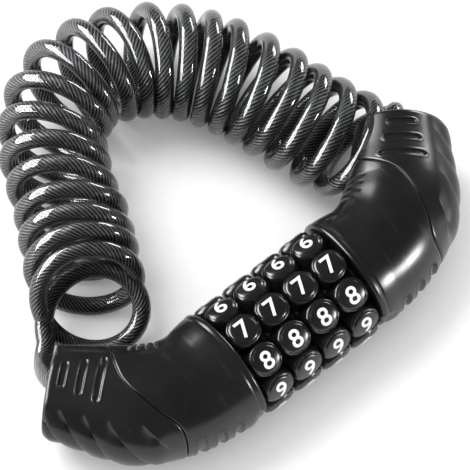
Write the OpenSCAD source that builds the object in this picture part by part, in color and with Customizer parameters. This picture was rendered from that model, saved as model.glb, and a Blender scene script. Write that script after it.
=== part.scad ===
// Spiral cable lock: two bent end housings, a row of four number dials on a slotted core
// tube, a toothed bolt that pulls out of the core, and a coiled cable from end to end.
// The dials turn about X. The lock lies flat, with the coil towards +Y.

/* [Number dials] */
// Distance from one dial to the next
dial_pitch = 8.1; // [7.8:0.1:9.8]
// Gap between two neighbouring dials
dial_gap = 0.4; // [0.3:0.05:0.6]
// Radius of a dial across its number pads
dial_r = 14; // [13:0.1:16.8]
// Height of the number pads above the drum
pad_rise = 1.5; // [0.8:0.1:2]
// Radius of one round number pad
pad_r = 3.7; // [3:0.1:3.8]

/* [Core] */
// Outer radius of the core tube
tube_r = 6; // [5.5:0.1:7]
// Radius of the locking bolt
bolt_r = 3.7; // [3:0.1:4.4]
// Running clearance between turning or sliding round parts
fit = 0.06; // [0.04:0.01:0.09]
// Outer radius of the clutch rings, and bore of the dials
clutch_r = 9; // [8.5:0.1:10]
// Length of a clutch ring along the core
clutch_w = 4.1; // [3.6:0.1:4.4]
// Width of the bolt's teeth, across the bolt
tooth_w = 2; // [1.6:0.1:2.4]
// Length of the bolt's teeth, along the bolt
tooth_l = 2.4; // [1.8:0.1:2.6]
// Clearance on each side of a tooth in its slot
tooth_play = 0.25; // [0.15:0.05:0.4]
// Depth of the core tube in the left housing
tube_seat = 11; // [9:0.5:12]
// Length of the core tube that stands out of the last dial
tube_nose = 3.3; // [3:0.1:4]
// Length of bolt held in the right housing
bolt_seat = 12; // [10:0.5:13]
// Depth of the first dial's edge that the bolt's tip leaves free
tip_back = 1.2; // [0.8:0.1:2]

/* [Housings] */
// Radius of a housing beside the dials
elbow_r = 14.2; // [14.2:0.1:17]
// Gap between a housing's face and the nearest dial
face_gap = 0.4; // [0.3:0.05:0.8]
// Angle that a housing bends through
bend = 50; // [40:1:60]
// Radius of the bend's centre line
bend_r = 23; // [21:0.5:28]
// Straight length beside the dials
straight_l = 6; // [5:0.5:10]
// Radius of the bend, where it meets the collar
neck_r = 13.2; // [12.4:0.1:14]
// Length of the tapered collar
collar_l = 15.7; // [14:0.1:20]
// Radius of the collar's mouth
mouth_r = 9.1; // [8.6:0.1:10.5]
// Wall of the housing shells
wall = 1.8; // [1.4:0.1:2.4]
// Depth of the bell-shaped mouth in front of the ferrule web
mouth_depth = 9; // [7:0.5:10]
// Depth of the engraved grip slots
slot_depth = 0.6; // [0.3:0.1:0.8]
// Width of the engraved grip slots
slot_w = 1.3; // [1:0.1:1.8]

/* [Cable] */
// Diameter of the cable
cable_d = 4.2; // [3.8:0.1:5]
// Diameter across the coil's turns
coil_d = 26.6; // [26:0.2:27]
// Outer radius of the crimped ferrules
ferrule_r = 4; // [3.4:0.1:4.4]
// Length of the crimped ferrules
ferrule_l = 9; // [7:0.5:10]
// Radius of the pins that hold the tube, the bolt and the ferrules
pin_r = 1.2; // [1:0.1:1.4]

/* [Hidden] */
$fn = 64;

dial_count = 4;
digits = 10;
stack_x = dial_count * dial_pitch / 2;
face_x = stack_x + face_gap;
dial_w = dial_pitch - dial_gap;
drum_r = dial_r - pad_rise;
housing_color = [0.07, 0.07, 0.075];
steel_color = [0.62, 0.63, 0.66];
spring_color = [0.75, 0.72, 0.62];

// Housing centre line, drawn for the right side and mirrored for the left
bend_x = face_x + straight_l;
neck_x = bend_x + bend_r * sin(bend);
neck_y = bend_r * (1 - cos(bend));
mouth_x = neck_x + collar_l * cos(bend);
mouth_y = neck_y + collar_l * sin(bend);
// Room under the dials, above the table
table_gap = 0.2;
axis_z = max(elbow_r, dial_r + table_gap);
// Puts the origin under the middle of the housings' outline
axis_y = (elbow_r - mouth_y - mouth_r * cos(bend)) / 2;
seam_back = 12.8;
seam_x = mouth_x - seam_back;
web_t = 4;
slot_first = 3.3;
slot_pitch = 4.1;
slot_reach = 3;
slot_grow = 1.1;
over = 0.05;
big = 60;

bolt_bore_r = bolt_r + fit;
clutch_bore_r = tube_r + fit;
tooth_reach = clutch_r - 1;
gate_r = tooth_reach + tooth_play;
gate_w = tooth_w + 2 * tooth_play;
groove_depth = 0.6;
groove_r = tube_r - groove_depth;
ring_w = 0.9;
ring_rise = 1.8;
ring_r = tube_r + ring_rise;
ring_play = 0.1;
washer_in = 0.4;
washer_r = clutch_r - washer_in;
washer_t = 0.6;
tube_end = stack_x + tube_nose;
ring_x = stack_x + ring_play;
pin_shift = 1;
pin_hold_x = face_x + tube_seat / 2 + pin_shift;
bolt_tip = -stack_x + tip_back;
bolt_back = tube_end + bolt_seat;
socket_x = bolt_back;
spring_w = 1.6;
spring_t = 0.5;
detent_r = 0.5;
pin_from = 4.5;
// Pins pressed up into the housings: height over the table, rise past the axis, play above
pin_base = 1;
pin_rise = 3;
pin_play = 2;
bolt_pin_back = 4;
bolt_pin_x = bolt_back - bolt_pin_back;
seat_play = 0.4;
washer_play = 0.2;
end_play = 0.3;
sleeve_t = 1.6;
tooth_back = 0.6;
spring_play = 0.05;
slot_ahead = 1;
cap_h = 1;

// Coil centre line on the table, from the left collar round to the right collar, drawn for
// a mouth at coil_for and carried along when the mouths move
coil_for = [50.3, 14.3];
coil_route = [
  [-31, 23], [-27, 31], [-22.5, 40], [-18, 48.5], [-13.5, 57], [-7.5, 64.5], [0.5, 68.5],
  [9, 68.5], [17.5, 63.5], [25.5, 56], [30.5, 47], [33.5, 38], [36, 29], [38.5, 20.5]
];
coil_sides = 12;
// Free ends of the cable, each from its ferrule to the coil: distance out of the mouth,
// distance to the outside of the bend, and height from the dial axis
left_route = [
  [-9, 0, 0], [-5.9, 0, 0], [-2.7, -0.3, -0.2], [0, -1.7, -1],
  [2.4, -4.2, -2], [3.9, -7.6, -2.8], [4.7, -12, -2.8], [4.6, -16.5, -2.2]
];
right_route = [
  [-9, 0, 0], [-5.9, 0, 0], [-2.7, -0.2, 0], [0.4, -1.2, 0], [3.2, -2.9, 0.2], [5.5, -4.9, 0.4]
];
lead_sides = 8;

// ---- shared shapes ----

// Carries what is drawn about the dial axis to its place above the table
module on_axis() {
  translate([0, axis_y, axis_z]) children();
}

// A cylinder along X from one place to another
module along_x(from, to, r) {
  translate([from, 0, 0]) rotate([0, 90, 0]) cylinder(h = to - from, r = r);
}

// Places children at a distance outside the right mouth, Z along the collar
module at_mouth(out = 0) {
  translate([mouth_x, mouth_y, 0]) rotate([0, 0, bend]) rotate([0, 90, 0])
    translate([0, 0, out]) children();
}

// The round bend between the straight part and the collar
module bend_form(inset) {
  translate([bend_x, bend_r, 0]) rotate([0, 0, -90]) rotate_extrude(angle = bend)
    translate([bend_r, 0]) circle(r = neck_r - inset);
}

// The tapered collar that the cable comes out of
module collar_form(inset) {
  at_mouth(-collar_l - over)
    cylinder(h = collar_l + over, r1 = neck_r - inset, r2 = mouth_r - inset);
}

// Three grip slots across the top of the collar
module grip_slots() {
  for (i = [0 : 2]) {
    back = slot_first + slot_pitch * i;
    reach = slot_reach + slot_grow * i;
    floor_z = mouth_r + (neck_r - mouth_r) * back / collar_l - slot_depth;
    at_mouth(-back) rotate([0, -90, 0]) translate([-slot_w / 2, -reach, floor_z])
      cube([slot_w, 2 * reach, big]);
  }
}

// The whole right housing, before it is parted at the seam
module housing_core() {
  difference() {
    union() {
      translate([face_x, 0, 0]) rotate([0, 90, 0])
        cylinder(h = straight_l, r1 = elbow_r, r2 = neck_r);
      bend_form(0);
      collar_form(0);
    }
    difference() {
      union() {
        bend_form(wall);
        collar_form(wall);
        at_mouth(-over) cylinder(h = cap_h, r = mouth_r - wall);
      }
      along_x(face_x, socket_x, big);
      at_mouth(-mouth_depth - web_t) cylinder(h = web_t, r = big);
    }
    at_mouth(-mouth_depth - web_t - over) cylinder(h = web_t + 2 * over, r = ferrule_r);
    grip_slots();
  }
}

module pin_hole(x) {
  translate([x, 0, -axis_z - over]) cylinder(h = axis_z + pin_rise + pin_play + over, r = pin_r);
}

// ---- housings ----

module left_housing() {
  mirror([1, 0, 0]) difference() {
    housing_core();
    along_x(face_x - over, face_x + tube_seat, tube_r);
    along_x(face_x - over, face_x + washer_t, washer_r + washer_play);
    pin_hole(pin_hold_x);
    under_ferrule() cylinder(h = axis_z, r = pin_r);
  }
}

module right_housing() {
  difference() {
    housing_core();
    along_x(face_x - over, tube_end + end_play, tube_r + seat_play);
    along_x(face_x - over, ring_x + ring_w + seat_play, ring_r + seat_play);
    along_x(face_x, socket_x + over, bolt_r + sleeve_t);
    pin_hole(bolt_pin_x);
    under_ferrule() cylinder(h = axis_z, r = pin_r);
  }
}

module left_elbow() {
  color(housing_color) on_axis() intersection() {
    left_housing();
    translate([-seam_x, -big, -big]) cube(2 * big);
  }
}

module left_end_cap() {
  color(housing_color) on_axis() intersection() {
    left_housing();
    translate([-seam_x - 2 * big, -big, -big]) cube(2 * big);
  }
}

module right_elbow() {
  color(housing_color) on_axis() intersection() {
    right_housing();
    translate([seam_x - 2 * big, -big, -big]) cube(2 * big);
  }
}

module right_end_cap() {
  color(housing_color) on_axis() intersection() {
    right_housing();
    translate([seam_x, -big, -big]) cube(2 * big);
  }
}

// ---- core ----

module core_tube() {
  color(steel_color) on_axis() difference() {
    along_x(-face_x - tube_seat, tube_end, tube_r);
    along_x(-face_x - tube_seat - over, tube_end + over, bolt_bore_r);
    translate([bolt_tip - slot_ahead, -gate_w / 2, 0]) cube([big, gate_w, tube_r + cap_h]);
    translate([-stack_x, -spring_w / 2, -tube_r - cap_h])
      cube([2 * stack_x, spring_w, cap_h + spring_t]);
    difference() {
      along_x(ring_x, ring_x + ring_w, tube_r + cap_h);
      along_x(ring_x - over, ring_x + ring_w + over, groove_r);
    }
    translate([-pin_hold_x, 0, -tube_r - cap_h]) cylinder(h = 2 * (tube_r + cap_h), r = pin_r);
  }
}

module core_pin() {
  color(steel_color) on_axis() translate([-pin_hold_x, 0, -axis_z + pin_base])
    cylinder(h = axis_z + pin_rise, r = pin_r);
}

module thrust_washer() {
  color(spring_color) on_axis() difference() {
    along_x(-face_x - washer_t, -face_x + face_gap / 2, washer_r);
    along_x(-face_x - cap_h, -stack_x, tube_r);
  }
}

module retaining_ring() {
  color(steel_color) on_axis() difference() {
    along_x(ring_x, ring_x + ring_w, ring_r);
    along_x(ring_x - over, ring_x + ring_w + over, groove_r);
    translate([ring_x - cap_h, -gate_w / 2 - seat_play, 0])
      cube([ring_w + 2 * cap_h, gate_w + 2 * seat_play, big]);
  }
}

module detent_spring() {
  color(spring_color) on_axis() translate([-stack_x, -spring_w / 2, -tube_r + spring_play])
    cube([2 * stack_x, spring_w, spring_t - 2 * spring_play]);
}

// ---- dials ----

function dial_x(i) = (i - (dial_count + 1) / 2) * dial_pitch;

// One number dial: a drum with ten round pads that stand out of it
module dial(i) {
  color([0.09, 0.09, 0.095]) on_axis() translate([dial_x(i), 0, 0]) difference() {
    union() {
      along_x(-dial_w / 2, dial_w / 2, drum_r);
      intersection() {
        along_x(-dial_w / 2, dial_w / 2, dial_r);
        for (k = [0 : digits - 1]) rotate([360 * k / digits, 0, 0])
          cylinder(h = dial_r + cap_h, r = pad_r);
      }
    }
    along_x(-dial_w, dial_w, clutch_r);
  }
}

module dial_1() { dial(1); }
module dial_2() { dial(2); }
module dial_3() { dial(3); }
module dial_4() { dial(4); }

// One clutch ring: it turns on the core tube, and its gate lets a tooth pass
module clutch_ring(i) {
  color(steel_color) on_axis() translate([dial_x(i) - dial_w / 2, 0, 0]) difference() {
    along_x(0, clutch_w, clutch_r);
    along_x(-over, clutch_w + over, clutch_bore_r);
    translate([-over, -gate_w / 2, 0]) cube([clutch_w + 2 * over, gate_w, gate_r]);
    for (k = [0 : digits - 1]) rotate([360 * k / digits, 0, 0])
      translate([0, 0, -clutch_bore_r]) along_x(-over, clutch_w + over, detent_r);
  }
}

module clutch_ring_1() { clutch_ring(1); }
module clutch_ring_2() { clutch_ring(2); }
module clutch_ring_3() { clutch_ring(3); }
module clutch_ring_4() { clutch_ring(4); }

// ---- bolt ----

module locking_bolt() {
  color(steel_color) on_axis() difference() {
    union() {
      along_x(bolt_tip, bolt_back, bolt_r);
      for (i = [1 : dial_count])
        translate([dial_x(i) + dial_w / 2 - tooth_l - tooth_back, -tooth_w / 2, 0])
          cube([tooth_l, tooth_w, tooth_reach]);
    }
    translate([bolt_pin_x, 0, -bolt_r - cap_h]) cylinder(h = 2 * (bolt_r + cap_h), r = pin_r);
  }
}

module bolt_sleeve() {
  color(steel_color) on_axis() difference() {
    along_x(tube_end + end_play, socket_x, bolt_r + sleeve_t);
    along_x(tube_end, socket_x + over, bolt_r);
    translate([bolt_pin_x, 0, -big / 2]) cylinder(h = big, r = pin_r);
  }
}

module bolt_pin() {
  color(steel_color) on_axis() translate([bolt_pin_x, 0, -axis_z + pin_base])
    cylinder(h = axis_z + pin_rise, r = pin_r);
}

// ---- cable ----

// Places children under a ferrule, Z up from the table
module under_ferrule() {
  at_mouth(-mouth_depth - web_t / 2) rotate([0, -90, 0]) translate([0, 0, -axis_z]) children();
}

module ferrule() {
  difference() {
    at_mouth(-mouth_depth - ferrule_l) cylinder(h = ferrule_l, r = ferrule_r);
    under_ferrule() cylinder(h = axis_z, r = pin_r);
  }
}

// A pin pressed up through the web into the ferrule's middle
module ferrule_pin() {
  under_ferrule() translate([0, 0, pin_from]) cylinder(h = axis_z - pin_from, r = pin_r);
}

module right_ferrule() { color(steel_color) on_axis() ferrule(); }
module left_ferrule() { color(steel_color) on_axis() mirror([1, 0, 0]) ferrule(); }
module right_ferrule_pin() { color(steel_color) on_axis() ferrule_pin(); }
module left_ferrule_pin() { color(steel_color) on_axis() mirror([1, 0, 0]) ferrule_pin(); }

// A point between b and c on the smooth line through a, b, c and d
function between(a, b, c, d, t) = 0.5 * (2 * b + (c - a) * t
  + (2 * a - 5 * b + 4 * c - d) * t * t + (3 * b - a - 3 * c + d) * t * t * t);
function mirrored(p, q) = 2 * p - q;
// A route with its ends carried on, so that every stretch has two neighbours
function carried(p) = concat([mirrored(p[0], p[1])], p, [mirrored(p[len(p) - 1], p[len(p) - 2])]);
function smooth(p, n) = let (q = carried(p)) concat(
  [for (i = [1 : len(q) - 3]) for (k = [0 : n - 1])
    between(q[i - 1], q[i], q[i + 1], q[i + 2], k / n)],
  [p[len(p) - 1]]);
function unit(v) = v / norm(v);
function heading(p, i) = unit(p[min(i + 1, len(p) - 1)] - p[max(i - 1, 0)]);
// One ring of a tube's skin about point i
function skin_ring(p, i, r, sides) = let (
    t = heading(p, i), side = unit(cross(t, [0, 0, 1])), up = cross(side, t)
  ) [for (k = [0 : sides - 1]) let (a = 360 * (k + 0.5) / sides)
      p[i] + r * (cos(a) * side + sin(a) * up)];

// A closed tube of radius r with flat ends along a list of points
module tube(p, r, sides) {
  n = len(p);
  points = [for (i = [0 : n - 1]) each skin_ring(p, i, r, sides)];
  sidewalls = [for (i = [0 : n - 2]) for (k = [0 : sides - 1]) let (m = (k + 1) % sides)
    each [[i * sides + k, i * sides + m, (i + 1) * sides + m],
      [i * sides + k, (i + 1) * sides + m, (i + 1) * sides + k]]];
  start = [for (k = [sides - 1 : -1 : 0]) k];
  end = [for (k = [0 : sides - 1]) (n - 1) * sides + k];
  polyhedron(points, concat(sidewalls, [start, end]));
}

// A lead's points carried to its mouth, on the left (-1) or on the right (1)
function led(p, end) = [for (q = p) [
  end * (mouth_x + q[0] * cos(bend) + q[1] * sin(bend)),
  mouth_y + axis_y + q[0] * sin(bend) - q[1] * cos(bend),
  axis_z + q[2]
]];

module left_lead() {
  color("dimgray") tube(smooth(led(left_route, -1), 2), cable_d / 2, lead_sides);
}

module right_lead() {
  color("dimgray") tube(smooth(led(right_route, 1), 2), cable_d / 2, lead_sides);
}

module coil_cable() {
  spread = mouth_x / coil_for[0];
  shift = mouth_y + axis_y - coil_for[1];
  raised = [for (p = coil_route) [p[0] * spread, p[1] + shift, coil_d / 2]];
  color("gray") tube(smooth(raised, 3), coil_d / 2, coil_sides);
}

left_elbow();
left_end_cap();
right_elbow();
right_end_cap();
core_tube();
core_pin();
thrust_washer();
retaining_ring();
detent_spring();
dial_1();
dial_2();
dial_3();
dial_4();
clutch_ring_1();
clutch_ring_2();
clutch_ring_3();
clutch_ring_4();
locking_bolt();
bolt_sleeve();
bolt_pin();
left_ferrule();
right_ferrule();
left_ferrule_pin();
right_ferrule_pin();
left_lead();
right_lead();
coil_cable();
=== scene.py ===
"""Combination cable lock: four number dials between two elbow housings, closed by a coiled cable.

Lengths are metres in the row frame of the CAD record. The dial axis runs along +X.
"""

import logging
import math
from dataclasses import dataclass
from enum import Enum
from typing import Callable

import bpy
import numpy as np
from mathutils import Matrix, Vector


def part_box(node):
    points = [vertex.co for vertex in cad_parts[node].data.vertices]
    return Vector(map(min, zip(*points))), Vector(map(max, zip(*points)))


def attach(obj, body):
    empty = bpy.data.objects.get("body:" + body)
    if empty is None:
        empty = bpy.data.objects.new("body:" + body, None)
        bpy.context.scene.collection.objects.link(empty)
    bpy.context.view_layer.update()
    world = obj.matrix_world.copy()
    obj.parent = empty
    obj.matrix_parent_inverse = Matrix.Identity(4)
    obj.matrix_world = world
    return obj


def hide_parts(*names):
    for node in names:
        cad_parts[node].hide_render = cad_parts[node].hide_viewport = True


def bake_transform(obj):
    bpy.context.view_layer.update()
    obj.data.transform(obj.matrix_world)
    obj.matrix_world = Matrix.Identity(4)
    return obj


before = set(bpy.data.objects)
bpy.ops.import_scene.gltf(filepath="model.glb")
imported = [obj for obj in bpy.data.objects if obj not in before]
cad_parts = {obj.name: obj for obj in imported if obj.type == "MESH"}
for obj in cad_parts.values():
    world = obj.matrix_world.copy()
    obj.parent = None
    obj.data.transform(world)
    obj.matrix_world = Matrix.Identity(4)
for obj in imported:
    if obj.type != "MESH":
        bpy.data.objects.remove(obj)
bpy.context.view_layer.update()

logging.basicConfig(level=logging.INFO, format="%(message)s")
LOG = logging.getLogger("cable_lock")

MM = 0.001
CORE_LOW, CORE_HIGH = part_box("core_tube")
AXIS_Y = (CORE_LOW.y + CORE_HIGH.y) / 2
AXIS_Z = (CORE_LOW.z + CORE_HIGH.z) / 2


class Side(Enum):
    """Which end of the dial row a housing stands at."""

    LEFT = -1
    RIGHT = 1

    @property
    def word(self) -> str:
        """The word that names this side's nodes."""
        return self.name.lower()

    @property
    def body(self) -> str:
        """The CAD body that this side's pieces ride on."""
        return "core_half" if self is Side.LEFT else "bolt_half"


# ---------------------------------------------------------------- small tools


def smooth_step(value: np.ndarray) -> np.ndarray:
    """Ease from 0 to 1 over 0 to 1.

    Args:
        value: Numbers, clipped to 0 and 1 first.

    Returns:
        The eased numbers.
    """
    t = np.clip(value, 0.0, 1.0)
    return t * t * (3.0 - 2.0 * t)


def flowing(knots: np.ndarray, values: np.ndarray, at: np.ndarray) -> np.ndarray:
    """Read a smooth curve through given values.

    Args:
        knots: Places along the curve, rising.
        values: The value at each knot.
        at: Places to read.

    Returns:
        The curve's value at each place.
    """
    slopes = np.gradient(values, knots)
    i = np.clip(np.searchsorted(knots, at, side="right") - 1, 0, len(knots) - 2)
    span = knots[i + 1] - knots[i]
    t = (at - knots[i]) / span
    start = (1 + 2 * t) * (1 - t) ** 2 * values[i] + t * (1 - t) ** 2 * span * slopes[i]
    end = t * t * (3 - 2 * t) * values[i + 1] + t * t * (t - 1) * span * slopes[i + 1]
    return start + end


def deselect() -> None:
    """Leave object mode with nothing selected."""
    if bpy.context.object and bpy.context.object.mode != "OBJECT":
        bpy.ops.object.mode_set(mode="OBJECT")
    bpy.ops.object.select_all(action="DESELECT")


def only(obj: bpy.types.Object) -> None:
    """Make one object the only selected and active one."""
    deselect()
    obj.select_set(True)
    bpy.context.view_layer.objects.active = obj


def read_points(obj: bpy.types.Object) -> np.ndarray:
    """Read a mesh's vertices as rows of x, y, z."""
    points = np.zeros(len(obj.data.vertices) * 3)
    obj.data.vertices.foreach_get("co", points)
    return points.reshape(-1, 3)


def write_points(obj: bpy.types.Object, points: np.ndarray) -> None:
    """Write a mesh's vertices from rows of x, y, z."""
    obj.data.vertices.foreach_set("co", points.ravel())
    obj.data.update()


def close_up(obj: bpy.types.Object, gap: float = 1e-6) -> None:
    """Merge doubled points and turn every face outwards.

    Args:
        obj: The mesh object.
        gap: Points nearer than this become one.
    """
    only(obj)
    bpy.ops.object.mode_set(mode="EDIT")
    bpy.ops.mesh.select_all(action="SELECT")
    bpy.ops.mesh.remove_doubles(threshold=gap)
    bpy.ops.mesh.normals_make_consistent(inside=False)
    bpy.ops.object.mode_set(mode="OBJECT")


def drawn_skin(
    name: str,
    columns: int,
    rows: int,
    place: Callable[[np.ndarray, np.ndarray], np.ndarray],
    crease: float = 40.0,
) -> bpy.types.Object:
    """Draw a grid round a form: columns go round it and rows go along it.

    The forms made this way twist or change section at every row, past what extrusion can follow.

    Args:
        name: The new object's name.
        columns: Faces round the form.
        rows: Faces along the form.
        place: Gives points from the part of a turn (0 to 1) and the row number.
        crease: Edges sharper than this, in degrees, stay sharp.

    Returns:
        The closed mesh object, at the origin.
    """
    deselect()
    bpy.ops.mesh.primitive_grid_add(x_subdivisions=columns, y_subdivisions=rows, size=2)
    obj = bpy.context.object
    obj.name = name
    flat = read_points(obj)
    around = (flat[:, 0] + 1) / 2
    along = (flat[:, 1] + 1) / 2
    row = np.rint(along * rows).astype(int)
    write_points(obj, place(around, row))
    kept = obj.data.attributes.new("along", "FLOAT", "POINT")
    kept.data.foreach_set("value", along.astype(np.float32))
    close_up(obj)
    only(obj)
    if crease:
        bpy.ops.object.shade_smooth_by_angle(angle=math.radians(crease))
    else:
        bpy.ops.object.shade_smooth()
    return obj


# ------------------------------------------------------------------- finishes


class Recipe:
    """A material being put together, with short words for its nodes."""

    def __init__(self, name: str) -> None:
        """Start an empty material with a Principled shader."""
        self.material = bpy.data.materials.new(name)
        self.material.use_nodes = True
        self.tree = self.material.node_tree
        self.shader = self.tree.nodes["Principled BSDF"]
        self.output = self.tree.nodes["Material Output"]

    def node(self, kind: str, **settings: object) -> bpy.types.Node:
        """Add a node.

        Args:
            kind: The node's type name.
            settings: Properties to set on it.

        Returns:
            The node.
        """
        made = self.tree.nodes.new(kind)
        for key, value in settings.items():
            setattr(made, key, value)
        return made

    def link(self, source: bpy.types.NodeSocket, target: bpy.types.NodeSocket) -> None:
        """Join an output to an input."""
        self.tree.links.new(source, target)

    def group(self, tree: bpy.types.NodeTree, **values: float) -> bpy.types.Node:
        """Add a node group with its own values.

        Args:
            tree: The group's node tree.
            values: Input values by socket name, underscores for spaces.

        Returns:
            The group node.
        """
        made = self.node("ShaderNodeGroup", node_tree=tree)
        for key, value in values.items():
            made.inputs[key.replace("_", " ")].default_value = value
        return made


def new_group(name: str, inputs: dict, outputs: tuple) -> bpy.types.NodeTree:
    """Start a shader node group.

    Args:
        name: The group's name.
        inputs: Default value of each float input by name.
        outputs: Pairs of output name and socket type.

    Returns:
        The group's tree, with its input and output nodes named "in" and "out".
    """
    tree = bpy.data.node_groups.new(name, "ShaderNodeTree")
    for key, value in inputs.items():
        socket = tree.interface.new_socket(key, in_out="INPUT", socket_type="NodeSocketFloat")
        socket.default_value = value
    for key, kind in outputs:
        tree.interface.new_socket(key, in_out="OUTPUT", socket_type=kind)
    tree.nodes.new("NodeGroupInput").name = "in"
    tree.nodes.new("NodeGroupOutput").name = "out"
    return tree


def moulded_skin_group() -> bpy.types.NodeTree:
    """Build the fine texture of moulded plastic: a grain, flow clouds and hairline scuffs.

    Returns:
        The group, with a grain height and a wear mask.
    """
    tree = new_group(
        "moulded_skin",
        {"Grain Scale": 2600.0, "Cloud Scale": 90.0, "Scuff Scale": 420.0},
        (("Height", "NodeSocketFloat"), ("Wear", "NodeSocketFloat")),
    )
    add = tree.nodes.new
    link = tree.links.new
    source, sink = tree.nodes["in"], tree.nodes["out"]
    coords = add("ShaderNodeTexCoord")
    grain = add("ShaderNodeTexNoise")
    grain.inputs["Detail"].default_value = 3
    cloud = add("ShaderNodeTexNoise")
    cloud.inputs["Detail"].default_value = 4
    stretch = add("ShaderNodeMapping")
    stretch.inputs["Scale"].default_value = (1.0, 0.12, 0.5)
    stretch.inputs["Rotation"].default_value = (0.3, 0.2, 0.5)
    scuff = add("ShaderNodeTexNoise")
    scuff.inputs["Detail"].default_value = 2
    scuff_cut = add("ShaderNodeMapRange")
    scuff_cut.inputs["From Min"].default_value = 0.64
    scuff_cut.inputs["From Max"].default_value = 0.72
    soft = add("ShaderNodeMath")
    soft.operation = "MULTIPLY_ADD"
    soft.inputs[1].default_value = 0.35
    for texture, scale in ((grain, "Grain Scale"), (cloud, "Cloud Scale"), (scuff, "Scuff Scale")):
        link(source.outputs[scale], texture.inputs["Scale"])
    link(coords.outputs["Object"], grain.inputs["Vector"])
    link(coords.outputs["Object"], cloud.inputs["Vector"])
    link(coords.outputs["Object"], stretch.inputs["Vector"])
    link(stretch.outputs["Vector"], scuff.inputs["Vector"])
    link(scuff.outputs["Fac"], scuff_cut.inputs["Value"])
    link(scuff_cut.outputs["Result"], soft.inputs[0])
    link(cloud.outputs["Fac"], soft.inputs[2])
    link(grain.outputs["Fac"], sink.inputs["Height"])
    link(soft.outputs["Value"], sink.inputs["Wear"])
    return tree


def drawn_metal_group() -> bpy.types.NodeTree:
    """Build the marks of turned or drawn metal: rings along X and specks.

    Returns:
        The group, with a ring height and a tarnish mask.
    """
    tree = new_group(
        "drawn_metal",
        {"Ring Scale": 900.0, "Speck Scale": 700.0},
        (("Height", "NodeSocketFloat"), ("Tarnish", "NodeSocketFloat")),
    )
    add = tree.nodes.new
    link = tree.links.new
    source, sink = tree.nodes["in"], tree.nodes["out"]
    coords = add("ShaderNodeTexCoord")
    squeeze = add("ShaderNodeMapping")
    squeeze.inputs["Scale"].default_value = (4.0, 0.15, 0.15)
    rings = add("ShaderNodeTexNoise")
    specks = add("ShaderNodeTexNoise")
    specks.inputs["Detail"].default_value = 5
    link(coords.outputs["Object"], squeeze.inputs["Vector"])
    link(squeeze.outputs["Vector"], rings.inputs["Vector"])
    link(coords.outputs["Object"], specks.inputs["Vector"])
    link(source.outputs["Ring Scale"], rings.inputs["Scale"])
    link(source.outputs["Speck Scale"], specks.inputs["Scale"])
    link(rings.outputs["Fac"], sink.inputs["Height"])
    link(specks.outputs["Fac"], sink.inputs["Tarnish"])
    return tree


def blended(recipe: Recipe, mask: bpy.types.NodeSocket, low: tuple, high: tuple) -> bpy.types.NodeSocket:
    """Run a mask through a colour ramp.

    Args:
        recipe: The material.
        mask: The mask to read.
        low: Place and colour of the ramp's first stop.
        high: Place and colour of the ramp's last stop.

    Returns:
        The colour output.
    """
    ramp = recipe.node("ShaderNodeValToRGB")
    for stop, (where, colour) in zip(ramp.color_ramp.elements, (low, high)):
        stop.position = where
        stop.color = (*colour, 1.0)
    recipe.link(mask, ramp.inputs["Fac"])
    return ramp.outputs["Color"]


def ranged(recipe: Recipe, mask: bpy.types.NodeSocket, low: float, high: float) -> bpy.types.NodeSocket:
    """Map a mask from 0..1 to a range.

    Args:
        recipe: The material.
        mask: The mask to read.
        low: Value where the mask is 0.
        high: Value where the mask is 1.

    Returns:
        The value output.
    """
    spread = recipe.node("ShaderNodeMapRange")
    spread.inputs["To Min"].default_value = low
    spread.inputs["To Max"].default_value = high
    recipe.link(mask, spread.inputs["Value"])
    return spread.outputs["Result"]


def bumped(recipe: Recipe, height: bpy.types.NodeSocket, strength: float, depth: float) -> None:
    """Feed a height into the shader's normal.

    Args:
        recipe: The material.
        height: The height mask.
        strength: Share of the bump that shows.
        depth: Depth of a full-scale bump, in metres.
    """
    bump = recipe.node("ShaderNodeBump")
    bump.inputs["Strength"].default_value = strength
    bump.inputs["Distance"].default_value = depth
    recipe.link(height, bump.inputs["Height"])
    recipe.link(bump.outputs["Normal"], recipe.shader.inputs["Normal"])


@dataclass(frozen=True)
class MouldedPlastic:
    """Black injection-moulded plastic with a satin or glossy skin."""

    name: str
    colour: tuple = (0.007, 0.007, 0.0075)
    worn: tuple = (0.013, 0.013, 0.0135)
    gloss: tuple = (0.17, 0.3)
    coat: float = 0.0
    shine: float = 0.38
    grain: float = 2600.0
    depth: float = 0.00001

    def make(self, skin: bpy.types.NodeTree) -> bpy.types.Material:
        """Build the material.

        Args:
            skin: The moulded skin group.

        Returns:
            The material.
        """
        recipe = Recipe(self.name)
        marks = recipe.group(skin, Grain_Scale=self.grain)
        colour = blended(recipe, marks.outputs["Wear"], (0.35, self.colour), (0.95, self.worn))
        recipe.link(colour, recipe.shader.inputs["Base Color"])
        recipe.link(ranged(recipe, marks.outputs["Wear"], *self.gloss), recipe.shader.inputs["Roughness"])
        bumped(recipe, marks.outputs["Height"], 0.35, self.depth)
        recipe.shader.inputs["Specular IOR Level"].default_value = self.shine
        recipe.shader.inputs["Coat Weight"].default_value = self.coat
        recipe.shader.inputs["Coat Roughness"].default_value = 0.22
        return recipe.material


@dataclass(frozen=True)
class Metal:
    """Turned, drawn or stamped metal."""

    name: str
    bright: tuple
    dull: tuple
    gloss: tuple
    rings: float = 900.0
    depth: float = 0.000012

    def make(self, marks: bpy.types.NodeTree) -> bpy.types.Material:
        """Build the material.

        Args:
            marks: The drawn metal group.

        Returns:
            The material.
        """
        recipe = Recipe(self.name)
        drawn = recipe.group(marks, Ring_Scale=self.rings)
        recipe.shader.inputs["Metallic"].default_value = 1.0
        colour = blended(recipe, drawn.outputs["Tarnish"], (0.38, self.dull), (0.6, self.bright))
        recipe.link(colour, recipe.shader.inputs["Base Color"])
        recipe.link(ranged(recipe, drawn.outputs["Tarnish"], *self.gloss), recipe.shader.inputs["Roughness"])
        bumped(recipe, drawn.outputs["Height"], 0.5, self.depth)
        return recipe.material


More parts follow.
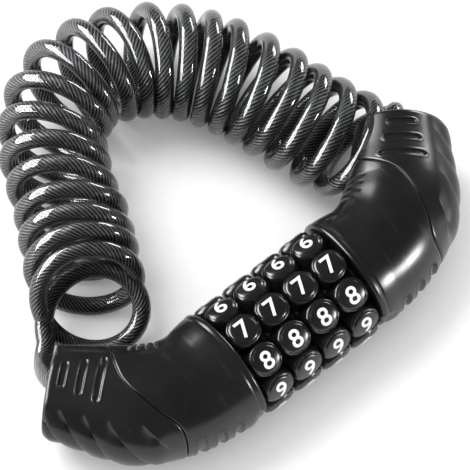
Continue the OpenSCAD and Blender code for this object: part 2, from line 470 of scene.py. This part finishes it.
@dataclass(frozen=True)
class PrintedInk:
    """Thick white ink of the numbers, a little uneven."""

    name: str = "number_ink"
    thin: tuple = (0.70, 0.70, 0.69)
    full: tuple = (0.88, 0.88, 0.87)

    def make(self, skin: bpy.types.NodeTree) -> bpy.types.Material:
        """Build the material.

        Args:
            skin: The moulded skin group.

        Returns:
            The material.
        """
        recipe = Recipe(self.name)
        marks = recipe.group(skin, Grain_Scale=1800.0, Cloud_Scale=500.0)
        colour = blended(recipe, marks.outputs["Wear"], (0.2, self.full), (1.0, self.thin))
        recipe.link(colour, recipe.shader.inputs["Base Color"])
        recipe.link(ranged(recipe, marks.outputs["Height"], 0.2, 0.34), recipe.shader.inputs["Roughness"])
        bumped(recipe, marks.outputs["Height"], 0.3, 0.00002)
        return recipe.material


@dataclass(frozen=True)
class ClearJacket:
    """Clear glossy vinyl over the wire rope. Light for shadows passes through it."""

    name: str = "clear_jacket"
    colour: tuple = (0.62, 0.63, 0.64)

    def make(self, skin: bpy.types.NodeTree) -> bpy.types.Material:
        """Build the material.

        Args:
            skin: The moulded skin group.

        Returns:
            The material.
        """
        recipe = Recipe(self.name)
        marks = recipe.group(skin, Cloud_Scale=60.0, Scuff_Scale=150.0)
        shader = recipe.shader
        shader.inputs["Base Color"].default_value = (*self.colour, 1.0)
        shader.inputs["IOR"].default_value = 1.46
        shader.inputs["Transmission Weight"].default_value = 1.0
        recipe.link(ranged(recipe, marks.outputs["Wear"], 0.06, 0.14), shader.inputs["Roughness"])
        path = recipe.node("ShaderNodeLightPath")
        passing = recipe.node("ShaderNodeBsdfTransparent")
        passing.inputs["Color"].default_value = (0.6, 0.61, 0.62, 1.0)
        mix = recipe.node("ShaderNodeMixShader")
        recipe.link(path.outputs["Is Shadow Ray"], mix.inputs[0])
        recipe.link(shader.outputs["BSDF"], mix.inputs[1])
        recipe.link(passing.outputs["BSDF"], mix.inputs[2])
        recipe.link(mix.outputs["Shader"], recipe.output.inputs["Surface"])
        return recipe.material


@dataclass(frozen=True)
class WireRope:
    """Galvanised wire rope: bright wire backs with dark lay lines between them, which are painted shade in
    the crevices between the wires.
    """

    name: str = "rope_wires"
    wires: int = 10
    back: tuple = (0.14, 0.143, 0.147)
    # Near-black colour of the painted shade in the crevices between the wires.
    painted_crevice_shade: tuple = (0.006, 0.006, 0.0064)

    def make(self, marks: bpy.types.NodeTree) -> bpy.types.Material:
        """Build the material.

        Args:
            marks: The drawn metal group.

        Returns:
            The material.
        """
        recipe = Recipe(self.name)
        drawn = recipe.group(marks, Ring_Scale=1500.0, Speck_Scale=2200.0)
        layout = recipe.node("ShaderNodeUVMap")
        split = recipe.node("ShaderNodeSeparateXYZ")
        turns = recipe.node("ShaderNodeMath", operation="MULTIPLY")
        turns.inputs[1].default_value = 2 * math.pi * self.wires
        wave = recipe.node("ShaderNodeMath", operation="COSINE")
        # Tarnish specks plus painted shade: the cosine round the rope darkens the colour between the wires.
        specks_and_crevice_shade = recipe.node("ShaderNodeMath", operation="MULTIPLY_ADD")
        specks_and_crevice_shade.inputs[1].default_value = 0.8
        recipe.link(layout.outputs["UV"], split.inputs["Vector"])
        recipe.link(split.outputs["X"], turns.inputs[0])
        recipe.link(turns.outputs["Value"], wave.inputs[0])
        recipe.link(drawn.outputs["Tarnish"], specks_and_crevice_shade.inputs[0])
        recipe.link(ranged(recipe, wave.outputs["Value"], 0.0, 0.75), specks_and_crevice_shade.inputs[2])
        # The ramp's dark end is painted shade between the wires, not a darker material.
        colour = blended(recipe, specks_and_crevice_shade.outputs["Value"], (0.35, self.painted_crevice_shade), (1.0, self.back))
        recipe.link(colour, recipe.shader.inputs["Base Color"])
        recipe.shader.inputs["Metallic"].default_value = 0.85
        recipe.link(ranged(recipe, drawn.outputs["Tarnish"], 0.34, 0.55), recipe.shader.inputs["Roughness"])
        bumped(recipe, wave.outputs["Value"], 0.4, 0.00004)
        return recipe.material


@dataclass
class Finishes:
    """Every finish of the lock, each built once."""

    def __post_init__(self) -> None:
        """Build the groups and the materials."""
        skin = moulded_skin_group()
        metal = drawn_metal_group()
        self.housing = MouldedPlastic("housing_plastic").make(skin)
        self.dial = MouldedPlastic(
            "dial_plastic", colour=(0.006, 0.006, 0.0065), gloss=(0.18, 0.3), coat=0.2, grain=3200.0
        ).make(skin)
        self.ink = PrintedInk().make(skin)
        self.jacket = ClearJacket().make(skin)
        self.rope = WireRope().make(metal)
        self.steel = Metal("turned_steel", (0.60, 0.60, 0.61), (0.42, 0.42, 0.43), (0.18, 0.34)).make(metal)
        self.sintered = Metal(
            "sintered_steel", (0.38, 0.37, 0.36), (0.24, 0.24, 0.24), (0.34, 0.52), rings=1400.0
        ).make(metal)
        self.spring = Metal("spring_steel", (0.48, 0.47, 0.45), (0.3, 0.29, 0.28), (0.2, 0.36)).make(metal)
        self.swaged = Metal(
            "swaged_aluminium", (0.72, 0.73, 0.74), (0.55, 0.55, 0.56), (0.26, 0.42)
        ).make(metal)


def dress(obj: bpy.types.Object, finish: bpy.types.Material) -> None:
    """Give an object one material all over."""
    obj.data.materials.clear()
    obj.data.materials.append(finish)


# --------------------------------------------------------------------- studio


@dataclass
class Studio:
    """White table, camera and soft lights."""

    target: Vector = Vector((0.0049, 0.0176, 0.014))
    azimuth: float = -39.5
    elevation: float = 65.0
    distance: float = 1.2
    width: float = 0.1044
    sensor: float = 36.0
    sky: float = 1.1
    mirrored_sky: float = 0.13
    sun_width: float = math.radians(35)
    table_radius: float = 2.5
    boxes: tuple = (
        ("back_box", 222.0, 22.0, 0.7, (0.95, 0.42), 24.0),
        ("right_box", 108.0, 14.0, 0.8, (0.4, 0.2), 5.0),
        ("front_box", 33.0, 12.0, 0.8, (0.14, 0.16), 5.0),
    )

    def direction(self, azimuth: float, elevation: float) -> Vector:
        """Point from the object outwards.

        Args:
            azimuth: Degrees round the object; 0 stands on the -Y side.
            elevation: Degrees above the table.

        Returns:
            A unit vector.
        """
        a, e = math.radians(azimuth), math.radians(elevation)
        return Vector((math.sin(a) * math.cos(e), -math.cos(a) * math.cos(e), math.sin(e)))

    def camera(self) -> None:
        """Add the camera at the height and side from which the lock is seen."""
        back = self.direction(self.azimuth, self.elevation)
        bpy.ops.object.camera_add(location=self.target + back * self.distance)
        camera = bpy.context.object
        camera.rotation_mode = "QUATERNION"
        camera.rotation_quaternion = (-back).to_track_quat("-Z", "Y")
        camera.data.sensor_width = self.sensor
        camera.data.lens = self.sensor * self.distance / self.width
        camera.data.clip_start = 0.05
        camera.data.clip_end = 20.0
        bpy.context.scene.camera = camera

    def soft_box(
        self, name: str, azimuth: float, elevation: float, away: float, size: tuple, power: float
    ) -> None:
        """Hang a rectangular light that faces the lock and is mirrored in what shines.

        Args:
            name: The light's name.
            azimuth: Degrees round the lock.
            elevation: Degrees above the table.
            away: Distance in metres.
            size: Width and height in metres.
            power: Watts.
        """
        aim = self.direction(azimuth, elevation)
        bpy.ops.object.light_add(type="AREA", location=self.target + aim * away)
        lamp = bpy.context.object
        lamp.name = name
        lamp.rotation_mode = "QUATERNION"
        lamp.rotation_quaternion = (-aim).to_track_quat("-Z", "Y")
        lamp.data.shape = "RECTANGLE"
        lamp.data.size, lamp.data.size_y = size
        lamp.data.energy = power
        lamp.visible_diffuse = False

    def sun(self, name: str, azimuth: float, elevation: float, strength: float) -> None:
        """Add broad soft daylight that lights surfaces but isn't mirrored in them.

        Args:
            name: The light's name.
            azimuth: Degrees round the lock.
            elevation: Degrees above the table.
            strength: Watts for each square metre.
        """
        aim = self.direction(azimuth, elevation)
        bpy.ops.object.light_add(type="SUN", location=self.target + aim)
        lamp = bpy.context.object
        lamp.name = name
        lamp.rotation_mode = "QUATERNION"
        lamp.rotation_quaternion = (-aim).to_track_quat("-Z", "Y")
        lamp.data.angle = self.sun_width
        lamp.data.energy = strength
        lamp.visible_glossy = False

    def table(self) -> None:
        """Lay a wide white table and give it its paper finish."""
        deselect()
        bpy.ops.mesh.primitive_circle_add(vertices=96, radius=self.table_radius, fill_type="NGON")
        floor = bpy.context.object
        floor.name = "studio_table"
        recipe = Recipe("table_paper")
        coords = recipe.node("ShaderNodeTexCoord")
        fibre = recipe.node("ShaderNodeTexNoise")
        fibre.inputs["Scale"].default_value = 300.0
        recipe.link(coords.outputs["Object"], fibre.inputs["Vector"])
        colour = blended(recipe, fibre.outputs["Fac"], (0.2, (0.93, 0.93, 0.93)), (0.8, (0.95, 0.95, 0.95)))
        recipe.link(colour, recipe.shader.inputs["Base Color"])
        recipe.shader.inputs["Roughness"].default_value = 0.9
        recipe.shader.inputs["Specular IOR Level"].default_value = 0.1
        dress(floor, recipe.material)

    def build(self) -> None:
        """Set up the whole studio."""
        self.camera()
        self.table()
        world = bpy.context.scene.world or bpy.data.worlds.new("studio")
        bpy.context.scene.world = world
        world.use_nodes = True
        background = world.node_tree.nodes["Background"]
        background.inputs["Color"].default_value = (1.0, 1.0, 1.0, 1.0)
        path = world.node_tree.nodes.new("ShaderNodeLightPath")
        level = world.node_tree.nodes.new("ShaderNodeMapRange")
        level.inputs["To Min"].default_value = self.sky
        level.inputs["To Max"].default_value = self.mirrored_sky
        world.node_tree.links.new(path.outputs["Is Glossy Ray"], level.inputs["Value"])
        world.node_tree.links.new(level.outputs["Result"], background.inputs["Strength"])
        self.sun("sky_light", 200.0, 56.0, 1.7)
        for box in self.boxes:
            self.soft_box(*box)
        bpy.context.scene.view_settings.view_transform = "Standard"


# ---------------------------------------------------------------------- cable


@dataclass(frozen=True)
class Ring:
    """How one turn of the coil stands: its place on the table, lean and yaw.

    CoilCable's rows of these came out of a least-squares fit. They were not set by hand.
    """

    turn: float
    x: float
    y: float
    lean: float
    yaw: float


@dataclass
class CoilCable:
    """The clear-jacketed wire rope, from ferrule to ferrule."""

    diameter: float = 4.2 * MM
    rope_radius: float = 1.5 * MM
    coil_radius: float = 11.2 * MM
    turns: int = 21
    steps: int = 40
    lay: float = 10.5 * MM
    rings: tuple = (
        Ring(0, -31.4, 22.6, 70, -4),
        Ring(1, -28.8, 27.6, 33, 5),
        Ring(2.5, -24.2, 36.5, 7, 7),
        Ring(4, -20.3, 43.7, 4, 17),
        Ring(5.5, -16.4, 52.9, 3, 26),
        Ring(7, -12.0, 61.4, 2, 20),
        Ring(9, -0.7, 69.5, 2, 5),
        Ring(11, 12.1, 67.5, 8, -11),
        Ring(13, 22.2, 59.8, 8, -5),
        Ring(15, 28.3, 50.8, 12, -11),
        Ring(17, 32.7, 39.6, 24, -8),
        Ring(19, 36.1, 27.9, 29, -7),
        Ring(20, 38.5, 21.2, 33, -3),
        Ring(21, 41.4, 17.3, 30, 30),
    )
    left_lead: tuple = (
        (-43.4, 5.9, 14.2),
        (-44.5, 7.4, 14.2),
        (-46.2, 9.6, 14.2),
        (-47.6, 12.2, 14.0),
        (-48.2, 15.2, 12.9),
        (-47.9, 18.2, 10.6),
        (-46.9, 21.0, 7.9),
        (-45.4, 23.4, 5.9),
        (-43.5, 25.4, 5.2),
    )
    right_lead: tuple = (
        (52.0, 18.4, 14.4),
        (50.7, 16.6, 15.4),
        (49.2, 14.2, 15.2),
        (47.5, 11.5, 14.6),
        (45.9, 9.3, 14.2),
        (44.5, 7.4, 14.2),
        (43.4, 5.9, 14.2),
    )

    def coil(self) -> np.ndarray:
        """Wind the coil, one ring after another.

        Returns:
            Points in millimetres.
        """
        knots = np.array([ring.turn for ring in self.rings], float)
        turn = np.linspace(0, self.turns, self.turns * self.steps + 1)
        read = {
            key: flowing(knots, np.array([getattr(ring, key) for ring in self.rings], float), turn)
            for key in ("x", "y", "lean", "yaw")
        }
        lean, yaw = np.radians(read["lean"]), np.radians(read["yaw"])
        ahead = np.stack([np.gradient(read["x"]), np.gradient(read["y"])])
        ahead /= np.linalg.norm(ahead, axis=0)
        face = np.stack([
            ahead[0] * np.cos(yaw) + ahead[1] * np.sin(yaw),
            ahead[1] * np.cos(yaw) - ahead[0] * np.sin(yaw),
        ])
        angle = 2 * math.pi * turn - math.pi / 2
        radius = self.coil_radius / MM
        up, across = radius * np.cos(angle), radius * np.sin(angle)
        x = read["x"] + up * np.sin(lean) * face[0] + across * face[1]
        y = read["y"] + up * np.sin(lean) * face[1] - across * face[0]
        z = self.diameter / MM / 2 + (radius + up) * np.cos(lean)
        return np.stack([x, y, z], 1)

    def route(self) -> np.ndarray:
        """Join the two leads to the coil and space the points evenly.

        Returns:
            Points in metres, in the row frame.
        """
        points = np.vstack([self.left_lead, self.coil(), self.right_lead]) * MM
        reach = np.concatenate([[0], np.cumsum(np.linalg.norm(np.diff(points, axis=0), axis=1))])
        even = np.linspace(0, reach[-1], int(reach[-1] / (0.9 * MM)) + 1)
        return np.stack([flowing(reach, points[:, k], even) for k in range(3)], 1)

    def frames(self, route: np.ndarray) -> tuple:
        """Carry a cross-section along the route without twisting it.

        Args:
            route: Points in metres.

        Returns:
            Two arrays of unit vectors across the route.
        """
        ahead = np.gradient(route, axis=0)
        ahead /= np.linalg.norm(ahead, axis=1)[:, None]
        first = np.zeros_like(route)
        side = np.cross(ahead[0], (0.0, 0.0, 1.0))
        for i, forward in enumerate(ahead):
            side = side - forward * side.dot(forward)
            side /= np.linalg.norm(side)
            first[i] = side
        return first, np.cross(ahead, first)

    def tube(self, name: str, columns: int, radius: Callable, twist: Callable) -> bpy.types.Object:
        """Draw a tube along the route, closed at both ends.

        Args:
            name: The piece's name.
            columns: Faces round the tube.
            radius: Gives the radius in metres from the part of a turn.
            twist: Gives the twist in radians from the distance along the route.

        Returns:
            The mesh object.
        """
        route = self.line
        first, second = self.frames(route)
        reach = np.concatenate([[0], np.cumsum(np.linalg.norm(np.diff(route, axis=0), axis=1))])
        last = len(route) + 1

        def place(around: np.ndarray, row: np.ndarray) -> np.ndarray:
            """Put each grid point on the tube; the end rows close it."""
            i = np.clip(row - 1, 0, len(route) - 1)
            open_row = ((row > 0) & (row < last)).astype(float)
            angle = 2 * math.pi * around + twist(reach[i])
            out = (radius(around) * open_row)[:, None]
            return route[i] + out * (np.cos(angle)[:, None] * first[i] + np.sin(angle)[:, None] * second[i])

        return drawn_skin(name, columns, last, place, crease=0)

    def stretchy(self, obj: bpy.types.Object) -> None:
        """Bake a cable tube's place into its mesh and read its along values, which nothing uses further.

        Args:
            obj: A tube of the cable.
        """
        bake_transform(obj)
        along = np.zeros(len(obj.data.vertices), np.float32)
        obj.data.attributes["along"].data.foreach_get("value", along)

    def build(self, finishes: Finishes) -> None:
        """Make the jacket and the rope inside it.

        Args:
            finishes: The lock's finishes.
        """
        self.line = self.route()
        wires = WireRope().wires

        def rope_skin(around: np.ndarray) -> np.ndarray:
            """Raise a round back for each wire."""
            return self.rope_radius - 0.16 * MM * (0.5 - 0.5 * np.cos(2 * math.pi * wires * around))

        rope = self.tube("cable_rope", wires * 4, rope_skin, lambda reach: 2 * math.pi * reach / self.lay)
        dress(rope, finishes.rope)
        self.stretchy(rope)
        jacket = self.tube(
            "cable_jacket",
            24,
            lambda around: np.full_like(around, self.diameter / 2),
            lambda reach: 0 * reach,
        )
        dress(jacket, finishes.jacket)
        self.stretchy(jacket)
        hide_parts("coil_cable", "left_lead", "right_lead")


# ------------------------------------------------------------------- housings


@dataclass
class Housing:
    """An elbow and its end cap, modelled for the right end and mirrored for the left."""

    face_x: float = 16.6
    straight: float = 6.0
    bend_radius: float = 23.0
    bend: float = math.radians(50)
    collar: float = 15.7
    bell_radius: float = 7.3
    bell_depth: float = 6.6
    bore: float = 6.35
    columns: int = 256
    slot_depth: float = 0.42
    ridge_pitch: float = 5.6
    ridge_depth: float = 2.7
    ridge_rise: float = 0.55
    arch_depth: float = 0.8
    facet_depth: float = 1.1
    lip_depth: float = 0.16
    step_depth: float = 0.45
    knots: tuple = (
        (0, 14.2),
        (3, 13.95),
        (7, 13.4),
        (14, 13.2),
        (22, 13.15),
        (27, 12.6),
        (34, 11.4),
        (41.77, 10.2),
    )
    seam: tuple = (
        (-20, 37.6),
        (-12.8, 37.1),
        (-8.9, 35.9),
        (-2.4, 38.0),
        (8, 39.5),
        (19.3, 35.2),
        (30, 34.0),
    )

    @property
    def reach(self) -> float:
        """Length of the centre line, face to mouth."""
        return self.straight + self.bend_radius * self.bend + self.collar

    def centre(self, s: np.ndarray) -> tuple:
        """Find the centre line and its outer side.

        Args:
            s: Distances from the face.

        Returns:
            x, y, and the x and y of the direction to the outside of the bend.
        """
        turn = np.clip((s - self.straight) / self.bend_radius, 0, self.bend)
        past = np.clip(s - self.straight - self.bend_radius * self.bend, 0, None)
        before = np.clip(s, None, self.straight)
        x = self.face_x + before + self.bend_radius * np.sin(turn) + past * math.cos(self.bend)
        y = self.bend_radius * (1 - np.cos(turn)) + past * math.sin(self.bend)
        return x, y, np.sin(turn), -np.cos(turn)

    def radius(self, s: np.ndarray) -> np.ndarray:
        """Read the outer radius at a distance from the face."""
        knots, values = np.array(self.knots, float).T
        return flowing(knots, values, np.clip(s, 0, self.reach))

    def point(self, s: np.ndarray, around: np.ndarray, radius: np.ndarray) -> np.ndarray:
        """Find a point of the form.

        Args:
            s: Distance from the face.
            around: Part of a turn; 0 is the top and a quarter the outside of the bend.
            radius: Distance from the centre line.

        Returns:
            Rows of x, y, z in millimetres from the dial axis.
        """
        x, y, out_x, out_y = self.centre(s)
        out = radius * np.sin(2 * math.pi * around)
        return np.stack([x + out * out_x, y + out * out_y, radius * np.cos(2 * math.pi * around)], -1)

    def seam_at(self, around: np.ndarray) -> np.ndarray:
        """Find where the joint between elbow and end cap runs.

        Args:
            around: Parts of a turn.

        Returns:
            Distance from the face for each.
        """
        ys, xs = np.array(self.seam, float).T
        low = np.full_like(around, self.straight)
        high = np.full_like(around, self.reach)
        for _ in range(40):
            middle = (low + high) / 2
            p = self.point(middle, around, self.radius(middle))
            short = p[:, 0] < flowing(ys, xs, p[:, 1])
            low = np.where(short, middle, low)
            high = np.where(short, high, middle)
        return (low + high) / 2

    def relief(self, s: np.ndarray, around: np.ndarray) -> np.ndarray:
        """Work out how far the moulded features sink below the form.

        Args:
            s: Distance from the face.
            around: Part of a turn.

        Returns:
            Depths in millimetres; a raised feature is negative.
        """
        radius = self.radius(s)
        p = self.point(s, around, radius)
        back = self.reach - s
        side = radius * np.sin(2 * math.pi * around)
        degrees = 360 * around
        depth = np.zeros_like(s)
        on_top = p[:, 2] > 0
        for i in range(3):
            reach = 3.0 + 1.1 * i - 0.65
            off = np.hypot(back - 3.3 - 4.1 * i, np.clip(np.abs(side) - reach, 0, None))
            depth += on_top * self.slot_depth * smooth_step((0.8 - off) / 0.3)
            depth -= on_top * 0.07 * smooth_step((1.25 - off) / 0.3)
        outside = smooth_step((degrees - 40) / 30) * smooth_step((155 - degrees) / 16)
        cap_part = smooth_step(back / 2.0) * smooth_step((24.5 - back) / 3.0)
        share = ((back + 1.0 - 0.12 * (degrees - 95)) / self.ridge_pitch) % 1.0
        ramp = share * (1 - smooth_step((share - 0.92) / 0.08))
        depth += outside * cap_part * (self.ridge_depth * ramp**2.2 - self.ridge_rise)
        low_side = (side > 0) & (back > self.collar)
        for i, x in enumerate((33.0, 28.4, 24.0)):
            off = np.hypot(p[:, 0] - x, np.clip(p[:, 2] - 2.4 + 0.5 * i, 0, None))
            depth += low_side * self.arch_depth * smooth_step((1.25 - off) / 0.35)
            depth -= low_side * 0.1 * smooth_step((1.75 - off) / 0.4)
        corner = smooth_step((degrees - 78) / 14) * smooth_step((140 - degrees) / 12)
        depth += self.facet_depth * corner * smooth_step((4.5 - s) / 4.5)
        depth += self.lip_depth * np.exp(-(((s - 1.7) / 0.28) ** 2))
        inner = smooth_step((degrees - 272) / 10) * smooth_step((322 - degrees) / 10)
        for place in (15.0, 18.5, 22.0, 25.0):
            step = smooth_step((s - place + 0.5) / 0.9) * smooth_step((place + 1.2 - s) / 0.9)
            depth += inner * self.step_depth * step
        return depth

    def elbow_rows(self) -> list:
        """List the elbow's rows: share of the way to the seam, fixed offset, inset, fixed radius."""
        opening = [(0, 5.0, 0, 0.0), (0, 5.0, 0, self.bore)]
        opening += [(0, 0.5, 0, self.bore), (0, 0.12, 0, self.bore + 0.4)]
        face = [(0, 0.0, 0, r) for r in (7.2, 9.0, 11.0, 12.4)]
        edge = [(0, 0.0, 0.85, None), (0, 0.08, 0.5, None), (0, 0.25, 0.22, None), (0, 0.55, 0.0, None)]
        skin = [(f, 0.8 * (1 - f) - 0.45 * f, 0.0, None) for f in np.linspace(0, 1, 110)]
        joint = [(1, -0.22, 0.07, None), (1, -0.08, 0.2, None), (1, -0.03, 0.5, None), (1, -0.03, 1.4, None)]
        return opening + face + edge + skin + joint + [(2, 0, 0, 0.0)]

    def cap_rows(self) -> list:
        """List the end cap's rows in the same way, past the seam towards the mouth."""
        joint = [(2, 0, 0, 0.0), (1, 0.03, 1.4, None), (1, 0.03, 0.5, None)]
        joint += [(1, 0.08, 0.2, None), (1, 0.22, 0.07, None)]
        skin = [(1 + f, 0.45 * (1 - f) - 0.9 * f, 0.0, None) for f in np.linspace(0, 1, 160)]
        rim = [(3, -0.45, 0.06, None), (3, -0.15, 0.25, None)]
        rim += [(3, 0, inset, None) for inset in (0.6, 1.0, 1.35)]
        bell = [(3, -0.12, 0, self.bell_radius + 0.2), (3, -0.5, 0, self.bell_radius)]
        bell += [(3, -self.bell_depth, 0, self.bell_radius - 0.3), (3, -self.bell_depth, 0, 0.0)]
        return joint + skin + rim + bell

    def skin(self, name: str, rows: list, side: Side) -> bpy.types.Object:
        """Draw the elbow or the end cap as one closed skin.

        Args:
            name: The piece's name.
            rows: Its rows, as elbow_rows and cap_rows list them.
            side: The end of the lock it stands at.

        Returns:
            The mesh object.
        """
        kind = np.array([row[0] for row in rows], float)
        offset = np.array([row[1] for row in rows], float)
        inset = np.array([row[2] for row in rows], float)
        fixed = np.array([np.nan if row[3] is None else row[3] for row in rows], float)
        is_cap = kind.max() > 2
        heart = 21.5

        def place(around: np.ndarray, row: np.ndarray) -> np.ndarray:
            """Put each grid point on the skin."""
            way, seam = kind[row], self.seam_at(around)
            share = np.where(is_cap, np.clip(way - 1, 0, 1), way)
            start, end = (seam, self.reach) if is_cap else (0.0, seam)
            s = start + np.clip(share, 0, 1) * (end - start) + offset[row]
            s = np.where((way == 2) & (fixed[row] == 0), heart, s)
            outer = self.radius(s) - self.relief(s, around) - inset[row]
            radius = np.where(np.isnan(fixed[row]), outer, fixed[row])
            p = self.point(s, around, radius) * MM
            p[:, 0] *= side.value
            return p + np.array([0.0, AXIS_Y, AXIS_Z])

        return drawn_skin(name, self.columns, len(rows) - 1, place, crease=48)

    def build(self, side: Side, finishes: Finishes) -> None:
        """Make both pieces of one housing.

        Args:
            side: The end of the lock.
            finishes: The lock's finishes.
        """
        for part, rows in (("elbow", self.elbow_rows()), ("end_cap", self.cap_rows())):
            piece = self.skin(f"{side.word}_{part}_shell", rows, side)
            dress(piece, finishes.housing)
            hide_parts(f"{side.word}_{part}")
            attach(piece, side.body)
            LOG.info("%s: %d faces", piece.name, len(piece.data.polygons))


# ---------------------------------------------------------------------- dials


@dataclass
class DialSet:
    """Four number dials: one is modelled, and the others are copies of it."""

    count: int = 4
    digits: int = 10
    top: float = 13.98 * MM
    valley: float = 11.0 * MM
    pad: float = 4.1 * MM
    shown: int = 7
    digit_size: float = 5.9 * MM

    def __post_init__(self) -> None:
        """Read the dial's width and bore from the frame."""
        low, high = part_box("dial_1")
        self.width = high.x - low.x
        self.bore = (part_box("clutch_ring_1")[1].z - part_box("clutch_ring_1")[0].z) / 2

    def middle(self, number: int) -> float:
        """Find the middle of a dial along the axis."""
        low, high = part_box(f"dial_{number}")
        return (low.x + high.x) / 2

    def pad_height(self, off: np.ndarray) -> np.ndarray:
        """Give the radius of a pad's surface.

        Args:
            off: Distance from the pad's middle, in metres.

        Returns:
            Distance from the dial axis.
        """
        share = off / self.pad
        crown = self.top - MM * (0.3 * share**2 + 0.45 * share**6)
        line = 0.24 * MM * np.exp(-(((off - 0.80 * self.pad) / (0.15 * MM)) ** 2))
        edge = np.clip((off / MM - 3.5) / 1.0, 0.0, 1.0)
        fall = (1 - np.sqrt(1 - edge**2)) * 0.55 + smooth_step((edge - 0.55) / 0.45) * 0.45
        return crown - line - fall * (self.top - self.valley)

    def wheel(self) -> bpy.types.Object:
        """Model one dial with its ring of pads, about the origin.

        Returns:
            The mesh object.
        """
        half = self.width / 2
        profile = [(-half, self.bore), (-half, self.bore + 0.2 * MM), (-half, 8.6 * MM), (-half, 9.4 * MM)]
        across = np.linspace(-half + 0.02 * MM, half - 0.02 * MM, 52)
        rows = len(profile) * 2 + len(across)
        step = 2 * math.pi / self.digits

        def place(around: np.ndarray, row: np.ndarray) -> np.ndarray:
            """Put each grid point on the wheel; the last row meets the first in the bore."""
            angle = 2 * math.pi * around
            near = (angle + step / 2) % step - step / 2
            n = len(profile)
            i = np.clip(row - n, 0, len(across) - 1)
            x = across[i]
            off = np.hypot(x, near * self.top * 0.96)
            radius = self.pad_height(off)
            lip = smooth_step((np.abs(x) / MM - 3.35) / 0.6)
            radius = radius - lip**2 * 1.3 * MM
            ends = np.array(profile + [(0, 0)] * len(across) + [(-a, r) for a, r in profile[::-1]])
            flat = (row < n) | (row >= n + len(across))
            row_of_end = np.clip(row, 0, len(ends) - 1)
            x = np.where(flat, ends[row_of_end, 0], x)
            radius = np.where(flat, ends[row_of_end, 1], radius)
            closing = row == rows
            x = np.where(closing, -half, x)
            radius = np.where(closing, self.bore, radius)
            return np.stack([x, -radius * np.sin(angle), radius * np.cos(angle)], 1)

        return drawn_skin("dial_shell_1", 480, rows, place, crease=50)

    def number_row(self, name: str) -> bpy.types.Object:
        """Model the ten numbers of one dial, wrapped over its pads.

        Args:
            name: The piece's name.

        Returns:
            The mesh object, about the origin.
        """
        made = []
        for k in range(self.digits):
            deselect()
            bpy.ops.object.text_add()
            text = bpy.context.object
            text.data.body = str((self.shown + k) % self.digits)
            text.data.size = self.digit_size
            text.data.align_x, text.data.align_y = "CENTER", "CENTER"
            text.data.offset = 0.04 * MM
            text.data.extrude = 0.09 * MM
            text.data.bevel_depth = 0.03 * MM
            text.data.resolution_u = 6
            bpy.ops.object.convert(target="MESH")
            digit = bpy.context.object
            points = read_points(digit)
            middle = (points.min(0) + points.max(0)) / 2
            write_points(digit, points - middle)
            bpy.ops.object.mode_set(mode="EDIT")
            bpy.ops.mesh.select_all(action="SELECT")
            bpy.ops.mesh.remove_doubles(threshold=1e-6)
            for cut in np.arange(-2.4, 2.5, 0.4):
                bpy.ops.mesh.select_all(action="SELECT")
                bpy.ops.mesh.bisect(plane_co=(0, cut * MM, 0), plane_no=(0, 1, 0))
            for cut in np.arange(-1.6, 1.7, 0.8):
                bpy.ops.mesh.select_all(action="SELECT")
                bpy.ops.mesh.bisect(plane_co=(cut * MM, 0, 0), plane_no=(1, 0, 0))
            bpy.ops.object.mode_set(mode="OBJECT")
            points = read_points(digit)
            off = np.hypot(points[:, 0], points[:, 1])
            radius = np.minimum(self.pad_height(off * 0.75), self.top) + points[:, 2] - 0.03 * MM
            angle = 2 * math.pi * k / self.digits - points[:, 1] / self.top
            write_points(digit, np.stack([points[:, 0], -radius * np.sin(angle), radius * np.cos(angle)], 1))
            made.append(digit)
        deselect()
        for digit in made:
            digit.select_set(True)
        bpy.context.view_layer.objects.active = made[0]
        bpy.ops.object.join()
        row = bpy.context.object
        row.name = name
        close_up(row)
        bpy.ops.object.shade_smooth_by_angle(angle=math.radians(35))
        return row

    def stand(self, piece: bpy.types.Object, number: int, finish: bpy.types.Material) -> None:
        """Put a piece in its dial's place, with its finish and its body.

        Args:
            piece: The mesh object, about the origin.
            number: The dial's number.
            finish: Its material.
        """
        write_points(piece, read_points(piece) + np.array([self.middle(number), AXIS_Y, AXIS_Z]))
        dress(piece, finish)
        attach(piece, f"dial_wheel_{number}")

    def copy(self, piece: bpy.types.Object, name: str) -> bpy.types.Object:
        """Copy a piece with its own mesh."""
        only(piece)
        bpy.ops.object.duplicate()
        made = bpy.context.object
        made.name = name
        return made

    def build(self, finishes: Finishes) -> None:
        """Make the four dials and their numbers.

        Args:
            finishes: The lock's finishes.
        """
        wheel = self.wheel()
        numbers = self.number_row("numbers_1")
        wheels = [wheel] + [self.copy(wheel, f"dial_shell_{i}") for i in range(2, self.count + 1)]
        rows = [numbers] + [self.copy(numbers, f"numbers_{i}") for i in range(2, self.count + 1)]
        for i, (shell, digits) in enumerate(zip(wheels, rows), start=1):
            self.stand(shell, i, finishes.dial)
            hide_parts(f"dial_{i}")
            self.stand(digits, i, finishes.ink)
            LOG.info("dial %d: %d and %d faces", i, len(shell.data.polygons), len(digits.data.polygons))


# ------------------------------------------------------------------ lock work


@dataclass
class LockWork:
    """The metal pieces of the frame, which keep their shape and get their finish."""

    def build(self, finishes: Finishes) -> None:
        """Dress each metal piece.

        Args:
            finishes: The lock's finishes.
        """
        plan = {
            "core_tube": finishes.steel,
            "core_pin": finishes.steel,
            "thrust_washer": finishes.spring,
            "retaining_ring": finishes.spring,
            "detent_spring": finishes.spring,
            "locking_bolt": finishes.steel,
            "bolt_sleeve": finishes.swaged,
            "bolt_pin": finishes.steel,
        }
        for i in range(1, 5):
            plan[f"clutch_ring_{i}"] = finishes.sintered
        for side in Side:
            plan[f"{side.word}_ferrule"] = finishes.swaged
            plan[f"{side.word}_ferrule_pin"] = finishes.steel
        for name, finish in plan.items():
            dress(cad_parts[name], finish)
            LOG.info("%s: %s", name, finish.name)


def main() -> None:
    """Build the studio, then the lock from its cable inwards."""
    Studio().build()
    finishes = Finishes()
    CoilCable().build(finishes)
    for side in Side:
        Housing().build(side, finishes)
    DialSet().build(finishes)
    LockWork().build(finishes)


if __name__ == "__main__":
    main()
